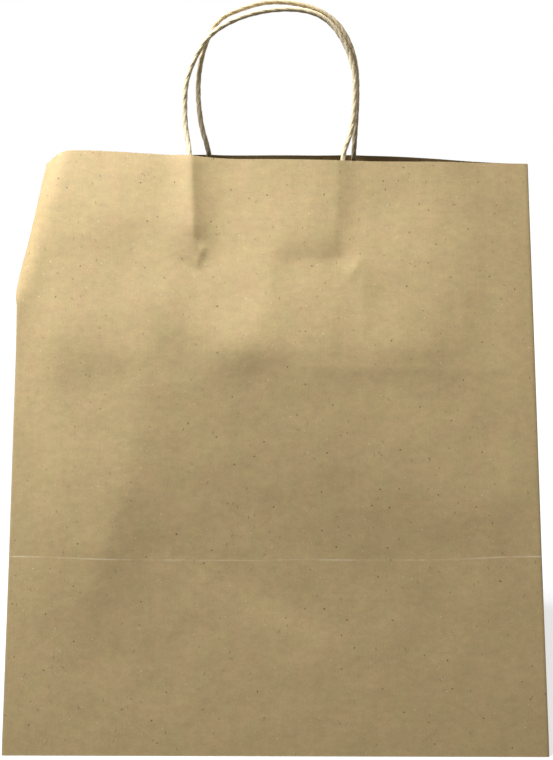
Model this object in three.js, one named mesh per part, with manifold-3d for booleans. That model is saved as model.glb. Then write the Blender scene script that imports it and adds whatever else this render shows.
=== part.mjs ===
// Paper carrier bag with twisted paper handles.
// Millimetres, +Z up, front at -Y. The origin is the middle of the base, on the floor.
// The bag stands with its base opened out and its mouth drawn nearly shut: both large panels
// lean inwards, and the side gussets fold in between them above the triangles at the base.

import * as THREE from 'three';
import { mergeVertices } from 'three/addons/utils/BufferGeometryUtils.js';
import Module from 'manifold-3d';

const wasm = await Module();
wasm.setup();

// Bag sizes
const bagWidth = 356;
const bagDepth = 254;
const panelHeight = 400;
const paperThickness = 0.2;
const baseLayers = 2;
const lowerLean = 18.6;
const mouthHalfGap = 3;
const foldLength = 3.2;

// Bulges of the panels at the mouth: place across the bag, half width and height
const frontBulges = [
  { at: 0, halfWidth: bagWidth / 2, height: 4 },
  { at: 110, halfWidth: 75, height: 7 },
];
const rearBulges = [
  { at: 0, halfWidth: bagWidth / 2, height: 12 },
  { at: 98, halfWidth: 80, height: 5 },
];

// Top left corner, which is bent back as a cone from a point lower down the edge
const cornerBendWidth = 37;
const cornerBendHeight = 92;
const cornerBendAngle = 78;
const cornerArcShare = 0.3;
const cornerLeastRadius = 8;
const cornerAxisSlope = 0.38;

// Folded bottom and the glued seam of the tube
const flapOverlap = 24;
const flapStepWidth = 0.8;
const seamWidth = 20;
const seamStepWidth = 0.6;

// Handles and the patches that hold them
const cordDiameter = 3.6;
const cordSides = 8;
const cordSteps = 42;
const legDepth = 61;
const patchWidth = 160;
const patchHeight = 68;
const patchTopMargin = 4;
const patchThickness = 0.2;
const ridgeHalfWidth = 7;
const ridgeEndLength = 6;
const clearance = 0.3;

// Where each handle's loop runs above the mouth: across the bag, then up from its plain edge.
// Both loops settle against each other, either side of one upright plane
const frontLoop = [
  [-59.3, 3], [-61.8, 20], [-62.7, 38], [-61, 55.5], [-55.4, 70], [-45, 85.5], [-31, 95],
  [-14.3, 101], [2.3, 103.6], [18.2, 103.2], [30, 100.2], [39.9, 93.6], [47.5, 83.7], [53.1, 72],
  [56.3, 59.5], [56.8, 46], [56, 31], [52.7, 16], [48.5, 3],
];
const rearLoop = [
  [-46.8, 3], [-50.6, 20], [-53.1, 37], [-53.4, 52], [-51.4, 68], [-45.5, 86], [-35.9, 98.5],
  [-23.4, 104.2], [-9.5, 108.2], [4.5, 109.1], [18.4, 107.4], [31.4, 103.2], [42.7, 95.7],
  [50.5, 85.4], [55.6, 73], [58.1, 58.5], [58.4, 44.5], [58, 30.5], [57.2, 16.5], [56.6, 3],
];
const loopPlane = 3.6;
const loopSettleRise = 16;

// Mesh steps
const panelColumns = 17;
const columnCrowding = 1.4;
const gussetColumns = 6;
const upperRows = 10;

const kraft = { color: 0xb39a6c, roughness: 0.85, metalness: 0 };
const twistedPaper = { color: 0xb8a578, roughness: 0.9, metalness: 0 };
const patchPaper = { color: 0xac9366, roughness: 0.88, metalness: 0 };

const rad = THREE.MathUtils.degToRad;
const lerp = THREE.MathUtils.lerp;
const vec = (x, y, z) => new THREE.Vector3(x, y, z);
const creaseHeight = bagDepth / 2;
const halfWidth = bagWidth / 2;
const floorOffset = paperThickness / 2;

// The panel leans by lowerLean up to the crease, and above it by the angle that meets the mouth
const lowerReach = creaseHeight * Math.sin(rad(lowerLean));
const upperReach = bagDepth / 2 - lowerReach - mouthHalfGap;
const upperLean = Math.asin(upperReach / (panelHeight - creaseHeight));

// Distance from the bag's middle plane, and height, of a plain panel at a height along the sheet
function leanLine(along) {
  const below = Math.min(along, creaseHeight);
  const above = along - below;
  const inwards = below * Math.sin(rad(lowerLean)) + above * Math.sin(upperLean);
  const height = below * Math.cos(rad(lowerLean)) + above * Math.cos(upperLean);
  return { half: bagDepth / 2 - inwards, height: height + floorOffset };
}

// A hump of squared cosine that is zero past its half width
function hump(offset, halfSpan) {
  const share = Math.min(Math.abs(offset) / halfSpan, 1);
  return Math.cos((share * Math.PI) / 2) ** 2;
}

// Columns of a panel crowd towards the bent corner at the left
const columns = Array.from({ length: panelColumns + 1 }, (_, j) =>
  -halfWidth + bagWidth * (j / panelColumns) ** columnCrowding);

// Columns of half a gusset crowd towards the panel's edge
const gussetShare = (j) => (j / gussetColumns) ** columnCrowding;

// Heights along the sheet: one for each gusset column, so that the folds of the base's triangles
// run through the mesh's crossings, and then from the crease to the mouth
const rowHeights = [
  ...Array.from({ length: gussetColumns }, (_, i) => creaseHeight * gussetShare(i)),
  ...Array.from({ length: upperRows + 1 }, (_, i) => lerp(creaseHeight, panelHeight, i / upperRows)),
];

// The cell of a rising list that holds a value, and the share of the cell below it
function cellOf(list, value) {
  const found = list.findIndex((stop, k) => k > 0 && value <= stop);
  const high = found < 0 ? list.length - 1 : found;
  return [high - 1, (value - list[high - 1]) / (list[high] - list[high - 1])];
}

// The bulge at a crossing of the mesh. It grows from the crease to the mouth
function bulgeAt(side, column, row) {
  const list = side < 0 ? frontBulges : rearBulges;
  const total = list.reduce((sum, b) => sum + b.height * hump(columns[column] - b.at, b.halfWidth), 0);
  const above = (rowHeights[row] - creaseHeight) / (panelHeight - creaseHeight);
  return total * THREE.MathUtils.smoothstep(above, 0, 1);
}

// How far a panel bulges outwards, square to its own lean, flat between the mesh's crossings so
// that the patches and cords lie evenly on it
function bulge(side, x, along) {
  const [column, across] = cellOf(columns, x);
  const [row, up] = cellOf(rowHeights, along);
  const low = lerp(bulgeAt(side, column, row), bulgeAt(side, column + 1, row), across);
  const high = lerp(bulgeAt(side, column, row + 1), bulgeAt(side, column + 1, row + 1), across);
  return lerp(low, high, up);
}

// A point of the front (side -1) or rear (side 1) panel, or of a layer `inside` it
function panelPoint(side, x, along, inside = 0) {
  const line = leanLine(along);
  const lean = along > creaseHeight ? upperLean : rad(lowerLean);
  const out = bulge(side, x, along) - inside;
  return vec(x, side * (line.half + out * Math.cos(lean)), line.height + out * Math.sin(lean));
}

// The tip of the triangle that each side folds into, above the middle of the base's side.
// Its tilt keeps the sheet's corners at their true angles while the panels lean
const tipTilt = Math.acos((1 - Math.sin(rad(lowerLean))) / Math.cos(rad(lowerLean)));
const tip = vec(
  halfWidth - creaseHeight * Math.sin(tipTilt),
  0,
  creaseHeight * Math.cos(tipTilt) + floorOffset,
);
const tipDrop = leanLine(creaseHeight).height - tip.z;

// The inner fold of the gusset: half the gusset's width away from the panels' edges
function gussetCentre(along) {
  const line = leanLine(along);
  const drop = (tipDrop * (panelHeight - along)) / (panelHeight - creaseHeight);
  const depth = Math.sqrt(creaseHeight ** 2 - line.half ** 2 - drop ** 2);
  const x = halfWidth - depth;
  const middle = (bulge(1, x, along) - bulge(-1, x, along)) / 2;
  return vec(x, middle, line.height - drop);
}

// The fold between a panel's edge and the gusset: three points round an arc that turns inwards,
// from straight across the bag to the gusset's own direction, which may be past half a turn
function edgeFold(side, along) {
  const edge = panelPoint(side, halfWidth, along);
  const target = along < creaseHeight ? tip : gussetCentre(along);
  const from = along < creaseHeight ? panelPoint(side, halfWidth, creaseHeight) : edge;
  const out = along === 0 ? vec(0, -side, 0) : target.clone().sub(from).normalize();
  const into = vec(1, 0, 0);
  const inner = vec(0, out.y, out.z).normalize();
  const pastHalf = inner.y * side > 0;
  const turn = pastHalf ? 2 * Math.PI - into.angleTo(out) : into.angleTo(out);
  const radius = foldLength / turn;
  const back = radius * (turn < Math.PI / 2 ? Math.tan(turn / 2) : 1);
  return [0, turn / 2, turn].map((angle) =>
    edge.clone()
      .addScaledVector(into, radius * Math.sin(angle) - back)
      .addScaledVector(inner, (pastHalf ? -radius : radius) * (1 - Math.cos(angle))));
}

// Points across half of the right gusset, from a panel's edge to the middle, without the folds
function halfGusset(side, along) {
  const first = edgeFold(side, along)[2];
  const innerEnd = middleFold(along)[side < 0 ? 0 : 2];
  const edge = panelPoint(side, halfWidth, along);
  const points = [];
  for (let j = 1; j < gussetColumns; j += 1) {
    const share = gussetShare(j);
    const across = creaseHeight * share;
    if (along >= creaseHeight) {
      points.push(first.clone().lerp(innerEnd, share));
    } else if (across <= along) {
      const step = tip.clone().sub(panelPoint(side, halfWidth, creaseHeight));
      points.push(edge.clone().addScaledVector(step, share));
    } else {
      points.push(baseTrianglePoint(side * (creaseHeight - across), along));
    }
  }
  return points;
}

// A point of the flat triangle that stands on the side of the base
function baseTrianglePoint(y, along) {
  const x = halfWidth - along * Math.sin(tipTilt);
  return vec(x, y, along * Math.cos(tipTilt) + floorOffset);
}

// The three points of the gusset's inner fold, from front to rear
function middleFold(along) {
  if (along < creaseHeight) {
    return [-1, 0, 1].map((k) => baseTrianglePoint((k * foldLength) / 2, along));
  }
  const centre = gussetCentre(along);
  const into = centre.clone().sub(panelPoint(-1, halfWidth, along)).normalize();
  const out = panelPoint(1, halfWidth, along).sub(centre).normalize();
  const turn = into.angleTo(out);
  const radius = foldLength / turn;
  const ahead = into.clone().add(out).normalize();
  const inner = out.clone().sub(into).normalize();
  return [-turn / 2, 0, turn / 2].map((angle) =>
    centre.clone()
      .addScaledVector(ahead, radius * Math.sin(angle))
      .addScaledVector(inner, radius * (1 - Math.cos(angle))));
}

// One row across the right side, from the front panel's last point to the rear panel's
function sideRow(along) {
  return [
    ...edgeFold(-1, along),
    ...halfGusset(-1, along),
    ...middleFold(along),
    ...halfGusset(1, along).reverse(),
    ...edgeFold(1, along).reverse(),
  ];
}

// Bends the layers back round the top left corner: past the cone's line they go along an arc and
// then straight. At the mouth all layers bend as one, and lower down the front and rear ones bend
// about planes of their own. The corner drops because the cone's line is not upright
function bendCorner(point) {
  const toMouth = leanLine(panelHeight).height - point.z;
  const width = cornerBendWidth * Math.max(1 - toMouth / cornerBendHeight, 0);
  const beyond = width - halfWidth - point.x;
  if (beyond <= 0) {
    return point;
  }
  const plane = Math.sign(point.y) * toMouth * Math.tan(upperLean);
  const angle = rad(cornerBendAngle);
  const radius = cornerArcShare * width + cornerLeastRadius;
  const arc = Math.min(beyond / radius, angle);
  const straight = Math.max(beyond - radius * angle, 0);
  const layerRadius = radius - (point.y - plane);
  const across = layerRadius * Math.sin(arc) + straight * Math.cos(arc);
  const back = radius - layerRadius * Math.cos(arc) + straight * Math.sin(arc);
  const inwards = beyond - across;
  return vec(point.x + inwards, plane + back, point.z - cornerAxisSlope * inwards);
}

// The corners of a thin wall: how far a point moves to lie the given amount off each of its faces
function wallOffset(normals, amounts) {
  const m = new THREE.Matrix3().set(0, 0, 0, 0, 0, 0, 0, 0, 0);
  const e = m.elements;
  const right = vec(0, 0, 0);
  const steady = 1e-3;
  normals.forEach((n, k) => {
    const c = n.toArray();
    for (let i = 0; i < 3; i += 1) {
      for (let j = 0; j < 3; j += 1) {
        e[i * 3 + j] += c[i] * c[j];
      }
    }
    right.addScaledVector(n, amounts[k]);
  });
  e[0] += steady;
  e[4] += steady;
  e[8] += steady;
  return right.applyMatrix3(m.invert());
}

// Gives a sheet its thickness: an outer and an inner skin, joined along the sheet's free edges
function thicken(points, faces, outer, inner) {
  const normals = faces.map(([a, b, c]) => {
    const ab = points[b].clone().sub(points[a]);
    const ac = points[c].clone().sub(points[a]);
    return ab.cross(ac).normalize();
  });
  const around = points.map(() => []);
  faces.forEach((face, k) => face.forEach((v) => around[v].push(k)));
  const skin = (amount, sign) => points.map((p, v) => {
    const near = around[v];
    const move = wallOffset(near.map((k) => normals[k]), near.map((k) => sign * amount(k, v)));
    return p.clone().add(move);
  });
  const all = [...skin(outer, 1), ...skin(inner, -1)];
  const count = points.length;
  const triangles = [];
  const edges = new Map();
  faces.forEach(([a, b, c]) => {
    triangles.push(a, b, c, a + count, c + count, b + count);
    [[a, b], [b, c], [c, a]].forEach(([from, to]) => {
      if (!edges.delete(`${to} ${from}`)) {
        edges.set(`${from} ${to}`, [from, to]);
      }
    });
  });
  edges.forEach(([from, to]) => {
    triangles.push(to, from, from + count, to, from + count, to + count);
  });
  const geometry = new THREE.BufferGeometry();
  geometry.setAttribute('position', new THREE.Float32BufferAttribute(all.flatMap((p) => p.toArray()), 3));
  geometry.setIndex(triangles);
  return geometry;
}

function toSolid(geometry) {
  const bare = geometry.clone();
  bare.deleteAttribute('normal');
  bare.deleteAttribute('uv');
  const sameSpot = 1e-5;
  const merged = mergeVertices(bare, sameSpot);
  return new wasm.Manifold(new wasm.Mesh({
    numProp: 3,
    vertProperties: new Float32Array(merged.attributes.position.array),
    triVerts: new Uint32Array(merged.index.array),
  }));
}

function toGeometry(solid) {
  const mesh = solid.getMesh();
  const geometry = new THREE.BufferGeometry();
  geometry.setAttribute('position', new THREE.BufferAttribute(mesh.vertProperties, 3));
  geometry.setIndex(new THREE.BufferAttribute(mesh.triVerts, 1));
  geometry.computeVertexNormals();
  return geometry;
}

// Two triangles for each cell of a grid, cut along one diagonal or the other
function cellFaces(a, b, c, d, otherWay) {
  return otherWay ? [[a, b, d], [b, c, d]] : [[a, b, c], [a, c, d]];
}

// A flat outline on the floor plane, raised into a prism
function prism(outline, low, high) {
  const shape = new THREE.Shape(outline.map(([x, y]) => new THREE.Vector2(x, y)));
  const geometry = new THREE.ExtrudeGeometry(shape, { depth: high - low, bevelEnabled: false });
  geometry.translate(0, 0, low);
  return toSolid(geometry);
}

// The folded sheet: rows of points from the base to the mouth, and the flat base below them
function bagBody() {
  const frontStations = columns.slice(1, -1);
  const seamEdge = halfWidth - seamWidth;
  const rearStations = [...frontStations, seamEdge - seamStepWidth, seamEdge].sort((a, b) => b - a);
  const rows = rowHeights.map((along) => [
    ...frontStations.map((x) => panelPoint(-1, x, along)),
    ...sideRow(along),
    ...rearStations.map((x) => panelPoint(1, x, along)),
    ...sideRow(along).map((p) => mirrored(p, along)).reverse(),
  ]);
  const rowLength = rows[0].length;
  const points = rows.flat().map(bendCorner);

  const sideLength = sideRow(0).length;
  const rightStart = frontStations.length;
  const rearStart = rightStart + sideLength;
  const leftStart = rearStart + rearStations.length;
  const inRearHalf = (j) => [rightStart, leftStart].some((start) => {
    const place = j - start;
    return place >= (sideLength - 1) / 2 && place < sideLength;
  });
  const faces = [];
  for (let i = 0; i < rows.length - 1; i += 1) {
    for (let j = 0; j < rowLength; j += 1) {
      const next = (j + 1) % rowLength;
      const low = i * rowLength;
      const high = low + rowLength;
      faces.push(...cellFaces(low + j, low + next, high + next, high + j, inRearHalf(j)));
    }
  }
  const wallFaces = faces.length;
  const outline = rows[0].map((p) => new THREE.Vector2(p.x, p.y));
  THREE.ShapeUtils.triangulateShape(outline, []).forEach(([a, b, c]) => faces.push([a, c, b]));

  // Between the gusset's fold and the seam's edge the rear panel is two layers thick
  const half = paperThickness / 2;
  const seamColumns = rearStations.filter((x) => x >= seamEdge).length;
  const inSeam = (v) => {
    const place = (v % rowLength) - rearStart;
    return place >= -1 && place < seamColumns;
  };
  const outer = (face, v) => half + (face < wallFaces && inSeam(v) ? paperThickness : 0);
  const inner = (face) => half + (face < wallFaces ? 0 : (baseLayers - 1) * paperThickness);
  return toGeometry(toSolid(thicken(points, faces, outer, inner)).subtract(flapRelief()));
}

// The left side mirrors the right, but its inner fold sits midway between the panels there
function mirrored(point, along) {
  const centre = gussetCentre(Math.max(along, creaseHeight));
  const middle = (bulge(1, -centre.x, along) - bulge(-1, -centre.x, along)) / 2;
  const change = along < creaseHeight ? 0 : middle - centre.y;
  const share = THREE.MathUtils.clamp((halfWidth - point.x) / (halfWidth - centre.x), 0, 1);
  return vec(-point.x, point.y + change * share, point.z);
}

// Underneath, the two end triangles lie a layer above the long flaps, and the outer flap ends
// in a fine step just past the middle
function flapRelief() {
  const halfDepth = bagDepth / 2;
  const past = 1;
  const ends = [-1, 1].map((side) => prism([
    [side * (halfWidth + past), -halfDepth + past],
    [side * (halfWidth + past), halfDepth - past],
    [side * (halfWidth - halfDepth), 0],
  ], -past, paperThickness));
  const edgeY = -flapOverlap / 2;
  const reach = halfWidth - halfDepth + flapOverlap / 2;
  const step = prism([
    [-reach, edgeY - flapStepWidth],
    [reach, edgeY - flapStepWidth],
    [reach, edgeY],
    [-reach, edgeY],
  ], -past, paperThickness / 2);
  return ends.reduce((sum, solid) => sum.add(solid), step);
}

// Layers inside a panel, counted from the panel's own middle
const backingInside = paperThickness / 2 + clearance + patchThickness / 2;
const cordInside = backingInside + patchThickness / 2 + clearance + cordDiameter / 2;
const coverInside = backingInside + patchThickness + clearance;
const ridgeHeight = cordInside + cordDiameter / 2 + 2 * clearance + patchThickness / 2 - coverInside;

const handles = {
  front: { side: -1, loop: frontLoop },
  rear: { side: 1, loop: rearLoop },
};

const legPlaces = (handle) => [handle.loop[0][0], handle.loop.at(-1)[0]];

// A patch: a rectangle of paper inside the panel, raised over the two cord legs if it covers them
function patch(handle, inside, covers) {
  const legs = legPlaces(handle);
  const middle = (legs[0] + legs[1]) / 2;
  const ends = [middle - patchWidth / 2, middle + patchWidth / 2];
  const nearLeg = (x) => legs.some((leg) => Math.abs(x - leg) < ridgeHalfWidth + 1);
  const across = [...ends, ...columns.filter((x) => x > ends[0] && x < ends[1] && !(covers && nearLeg(x)))];
  if (covers) {
    const parts = [-3, -2, -1, 0, 1, 2, 3];
    legs.forEach((leg) => parts.forEach((k) => across.push(leg + (k * ridgeHalfWidth) / 3)));
  }
  across.sort((a, b) => a - b);
  const top = panelHeight - patchTopMargin;
  const ridgeEnd = panelHeight - legDepth - clearance;
  const bottom = top - patchHeight;
  const between = rowHeights.filter((along) => along > ridgeEnd && along < top);
  const levels = [bottom, ridgeEnd - ridgeEndLength, ridgeEnd, ...between, top];
  const points = [];
  levels.forEach((along) => across.forEach((x) => {
    const ridge = Math.max(...legs.map((leg) => hump(x - leg, ridgeHalfWidth)));
    const height = covers && along >= ridgeEnd ? ridgeHeight * ridge : 0;
    points.push(panelPoint(handle.side, x, along, inside + height));
  }));
  const faces = [];
  const n = across.length;
  for (let i = 0; i < levels.length - 1; i += 1) {
    for (let j = 0; j < n - 1; j += 1) {
      const a = i * n + j;
      const cell = handle.side < 0 ? [a, a + 1, a + n + 1, a + n] : [a + 1, a, a + n, a + n + 1];
      faces.push(...cellFaces(...cell, false));
    }
  }
  const half = patchThickness / 2;
  return toGeometry(toSolid(thicken(points, faces, () => half, () => half)));
}

// The cord's middle line: down one leg between the patches, round the loop and down the other
function cordRoute(handle) {
  const mouth = leanLine(panelHeight).height;
  const legStops = [1, 0.75, 0.5, 0.25, 0.08];
  const leg = (x) => legStops.map((share) =>
    panelPoint(handle.side, x, panelHeight - share * legDepth, cordInside));
  const [left, right] = legPlaces(handle);
  const restY = loopPlane + (handle.side * (cordDiameter + clearance)) / 2;
  const loop = handle.loop.map(([x, up]) => {
    const foot = panelPoint(handle.side, x < 0 ? left : right, panelHeight, cordInside).y;
    return vec(x, lerp(restY, foot, Math.exp(-up / loopSettleRise)), mouth + up);
  });
  return [...leg(left), ...loop, ...leg(right).reverse()];
}

function cord(handle) {
  const curve = new THREE.CatmullRomCurve3(cordRoute(handle), false, 'centripetal');
  const section = new THREE.Shape();
  for (let k = 0; k < cordSides; k += 1) {
    const angle = (2 * Math.PI * k) / cordSides;
    const x = (cordDiameter / 2) * Math.cos(angle);
    const y = (cordDiameter / 2) * Math.sin(angle);
    section[k ? 'lineTo' : 'moveTo'](x, y);
  }
  const geometry = new THREE.ExtrudeGeometry(section, { steps: cordSteps, extrudePath: curve });
  return toGeometry(toSolid(geometry));
}

function part(name, geometry, finish) {
  const mesh = new THREE.Mesh(geometry, new THREE.MeshStandardMaterial(finish));
  mesh.name = name;
  return mesh;
}

const bag = new THREE.Group();
bag.add(part('bag_body', bagBody(), kraft));
Object.entries(handles).forEach(([place, handle]) => {
  bag.add(part(`${place}_patch_backing`, patch(handle, backingInside, false), patchPaper));
  bag.add(part(`${place}_patch_cover`, patch(handle, coverInside, true), patchPaper));
  bag.add(part(`${place}_handle_cord`, cord(handle), twistedPaper));
});

export default bag;
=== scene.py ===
"""Paper carrier bag with twisted paper handles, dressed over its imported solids.

All shapes are worked out in millimetres and turned into metres when their meshes are made.
Two distances follow the sheet: `s`, up from the base's edge, and `rounds`, which starts at the
front panel's left edge and goes once around the bag. `side` is -1 in front and 1 behind.
"""
import math

import bpy
import numpy as np
from mathutils import Matrix, Vector


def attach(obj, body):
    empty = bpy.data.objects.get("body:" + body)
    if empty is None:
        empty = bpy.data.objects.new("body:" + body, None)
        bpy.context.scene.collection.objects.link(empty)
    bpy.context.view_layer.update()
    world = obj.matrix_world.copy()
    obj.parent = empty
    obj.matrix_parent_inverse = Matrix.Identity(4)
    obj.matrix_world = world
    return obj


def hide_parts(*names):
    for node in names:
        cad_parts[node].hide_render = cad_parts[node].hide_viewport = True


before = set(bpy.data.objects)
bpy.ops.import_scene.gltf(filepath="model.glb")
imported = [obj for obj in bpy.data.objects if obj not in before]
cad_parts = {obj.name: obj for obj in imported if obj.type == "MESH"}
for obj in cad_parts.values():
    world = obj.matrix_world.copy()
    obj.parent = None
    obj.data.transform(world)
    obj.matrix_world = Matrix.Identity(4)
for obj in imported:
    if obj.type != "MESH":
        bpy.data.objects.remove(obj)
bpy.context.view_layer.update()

MM = 0.001

# Bag sizes, as in the solids; only the paper and the arcs of its folds are finer
BAG_WIDTH = 356.0
BAG_DEPTH = 254.0
PANEL_HEIGHT = 400.0
PAPER = 0.18
FLOOR_OFFSET = 0.1
LOWER_LEAN = math.radians(18.6)
MOUTH_HALF_GAP = 3.0
FOLD_LENGTH = 2.4
CREASE = BAG_DEPTH / 2
HALF_WIDTH = BAG_WIDTH / 2
UPPER_LEAN = math.asin(
    (BAG_DEPTH / 2 - CREASE * math.sin(LOWER_LEAN) - MOUTH_HALF_GAP) / (PANEL_HEIGHT - CREASE))

# Bulges of the panels at the mouth: place across the bag, half width and height
FRONT_BULGES = [(0, HALF_WIDTH, 4), (110, 75, 7)]
REAR_BULGES = [(0, HALF_WIDTH, 11), (98, 80, 6), (-105, 80, -5)]

# Bent top left corner
BEND_WIDTH = 37.0
BEND_HEIGHT = 98.0
BEND_GROWTH = 0.6
BEND_ANGLE = math.radians(78)
BEND_ARC_SHARE = 0.3
BEND_LEAST_RADIUS = 8.0
BEND_AXIS_SLOPE = 0.38
CORNER_DROP = 8.4
CORNER_DROP_SPAN = 20.0

# The tube's glued seam
SEAM_WIDTH = 20.0
SEAM_STEP = 0.6

# Folded bottom: how far its rings lie inside its edge, and between which of those distances its
# layers are recessed, by so many papers: front flap, right triangle, rear flap, left triangle.
# Last, how many papers lie above its middle line
BASE_INSETS = [0.8, 2.4, 9, 24, 48, 76, 102, 114.4, 115.2]
BASE_RECESSED = (2.0, 115.0)
BASE_RECESSES = [1.2, 1.9, 0.0, 1.9]
BASE_INNER_PAPERS = 1.9

# Handles and their patches
CORD_DIAMETER = 3.6
CLEARANCE = 0.3
LEG_DEPTH = 61.0
PATCH_WIDTH = 160.0
PATCH_HEIGHT = 68.0
PATCH_MARGIN = 4.0
RIDGE_HALF_WIDTH = 7.0
RIDGE_END = 6.0
FRONT_LOOP = [
    (-59.3, 3), (-61.8, 20), (-62.7, 38), (-61, 55.5), (-55.4, 70), (-45, 85.5), (-31, 95),
    (-14.3, 101), (2.3, 103.6), (18.2, 103.2), (30, 100.2), (39.9, 93.6), (47.5, 83.7), (53.1, 72),
    (56.3, 59.5), (56.8, 46), (56, 31), (52.7, 16), (48.5, 3),
]
REAR_LOOP = [
    (-46.8, 3), (-50.6, 20), (-53.1, 37), (-53.4, 52), (-51.4, 68), (-45.5, 86), (-35.9, 98.5),
    (-23.4, 104.2), (-9.5, 108.2), (4.5, 109.1), (18.4, 107.4), (31.4, 103.2), (42.7, 95.7),
    (50.5, 85.4), (55.6, 73), (58.1, 58.5), (58.4, 44.5), (58, 30.5), (57.2, 16.5), (56.6, 3),
]
LOOP_PLANE = 3.6
LOOP_SETTLE_RISE = 16.0
LEG_POINTS = 9
LEG_TOP_SHARE = 0.08

# The mouth's line, which isn't level: it rises towards the left corner and sags at the right one
LEFT_RISE = 7.4
LEFT_RISE_SPAN = (20.0, 145.0)
LEFT_FORWARD = 8.0
RIGHT_SAG = 3.4
RIGHT_SAG_SPAN = (-10.0, 165.0)
SWAY_START = 240.0
SWAY_FADE = (6.0, 25.0)

# Steps of the sheet's mesh, which lie closer together beside the cords' legs
FRONT_STEPS = 150
REAR_STEPS = 72
GUSSET_STEPS = 22
FOLD_POINTS = 5
LOWER_ROWS = 40
UPPER_ROWS = 98
CREASE_ROW_GAP = 1.2
CROWDED_HALF_SPAN = 18
FINE_POINTS = 4000


# Helpers

def smoothstep(value, low=0.0, high=1.0):
    """From 0 to 1 between low and high, level at both ends: 3 t squared less 2 t cubed."""
    t = np.clip((value - low) / (high - low), 0.0, 1.0)
    return t * t * (3 - 2 * t)


def hump(offset, half_span):
    """Squared cosine that is zero past the half span."""
    share = np.minimum(np.abs(offset) / half_span, 1.0)
    return np.cos(share * math.pi / 2) ** 2


def stack(x, y, z):
    """An array of points from their three coordinates."""
    return np.stack(np.broadcast_arrays(x, y, z), axis=-1).astype(float)


def unit(v):
    """Each vector divided by its length."""
    return v / np.maximum(np.linalg.norm(v, axis=-1, keepdims=True), 1e-12)


def lengths_along(points):
    """Distance from the first of a row of points to each of them, point by point."""
    return np.concatenate([[0], np.cumsum(np.linalg.norm(np.diff(points, axis=0), axis=-1))])


def grid_cells(rows, columns, closed):
    """Corner numbers of a grid's cells. A closed grid's last column is joined to its first."""
    i, j = np.meshgrid(np.arange(rows - 1), np.arange(columns - (not closed)), indexing="ij")
    after = (j + 1) % columns
    return np.stack([i * columns + j, i * columns + after,
                     (i + 1) * columns + after, (i + 1) * columns + j], axis=-1)


WAVES = 7


def wave_noise(x, y, size, seed, octaves=3, gain=0.5):
    """Smooth noise of about -1..1: sums of sine waves in random directions, octave by octave."""
    rng = np.random.default_rng(seed)
    total = np.zeros(np.broadcast(x, y).shape)
    weight, reach = 0.0, 1.0
    for _ in range(octaves):
        waves = np.zeros_like(total)
        for _ in range(WAVES):
            angle = rng.uniform(0, 2 * math.pi)
            rate = 2 * math.pi / (size * rng.uniform(0.7, 1.6))
            phase = rng.uniform(0, 2 * math.pi)
            waves = waves + np.sin((x * math.cos(angle) + y * math.sin(angle)) * rate + phase)
        total = total + reach * waves / math.sqrt(WAVES)
        weight += reach
        reach *= gain
        size *= 0.5
    return total / weight


# Relief of the large panels, square to the sheet and outwards. Places are across the bag and
# along the sheet

# Dents and swellings: place, radii, turn in degrees, height
FRONT_SWELLS = [
    ((-20, 275), (130, 55), -45, 4.5),    # the panel's broad belly
    ((110, 305), (45, 60), 15, -5.0),     # sunk to the right of the cords
    ((45, 370), (70, 45), 0, -4.0),       # drawn in between and beside the cords
    ((95, 380), (45, 55), -5, -4.0),
    ((20, 355), (25, 50), -20, 1.5),      # pushed out between the cords
    ((105, 245), (60, 40), 15, -3.0),     # right half below the break
    ((30, 190), (70, 45), -60, 3.5),
    ((135, 160), (60, 25), 0, 1.0),
    ((145, 200), (30, 30), 0, -1.0),
    ((-80, 180), (65, 50), 15, 3.0),      # left of the middle
    ((-150, 215), (40, 45), 0, -1.0),
    ((-145, 245), (40, 25), 0, -1.5),
    ((-20, 270), (20, 35), -50, 2.0),     # knuckle below the left cord
    ((-65, 260), (35, 20), -15, -2.0),
    ((75, 300), (20, 50), -25, -1.5),
    ((-135, 270), (50, 65), 0, 3.5),      # left edge, above the break
    ((-120, 350), (40, 25), 0, 1.0),
    ((-5, 100), (45, 20), -20, -1.0),     # below the crease
    ((40, 365), (15, 45), 0, 1.0),        # swelling on the left of the right cord
]

# Ridges: start, end, reach to the left and to the right of the way from start to end (so to the
# bag's right and left where the way goes down), height, and the roundness of a crest that isn't
# sharp
FRONT_PLEATS = [
    ((-175, 260), (140, 265), 55, 55, 5.0),   # the soft break across the panel
    ((-70, 310), (-125, 90), 40, 45, 4.5),    # slanting break of the left part
    ((-58, 412), (-55, 337), 7, 12, 3.0),     # over the left cord: a sharp crest
    ((-58, 412), (-54, 337), 12, 12, 1.8, 1.6),   # and its broad right flank
    ((45, 412), (42, 340), 8, 14, 1.0),       # over the right cord
    ((-48, 336), (-53, 323), 2.5, 8, 1.3),    # crumple at the left cord's end
    ((61, 330), (52, 316), 3, 8, 0.7),        # and at the right one's
    ((5, 328), (55, 329), 12, 24, -2.0),      # step at the patch's lower edge
    ((-75, 73), (-36, 125), 7, 11, 0.3),      # faint arch below the crease
    ((-41, 106), (46, 61), 8, 10, 0.2),
    ((20, 253), (174, 252), 3, 6, 0.3),       # fine line at the right of the break
    ((155, 311), (170, 279), 3, 4, 0.25),
]

REAR_SWELLS = [
    ((40, 285), (110, 60), 35, 4.0),
    ((-95, 300), (50, 60), -12, -3.6),
    ((0, 356), (34, 44), 10, -2.4),
    ((-60, 190), (70, 46), 50, 3.0),
    ((85, 175), (60, 40), -20, 2.2),
    ((120, 235), (46, 26), 12, -1.6),
    ((-20, 252), (30, 18), 8, -1.4),
    ((30, 95), (50, 22), 20, -0.9),
]
REAR_PLEATS = [
    ((170, 268), (-165, 258), 50, 50, 4.6),
    ((80, 318), (128, 96), 40, 40, 4.0),
    ((-46, 408), (-48, 338), 7, 13, 1.6),
    ((56, 408), (56, 338), 7, 13, 1.6),
    ((-70, 250), (-20, 140), 9, 14, 0.5),
]

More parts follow.
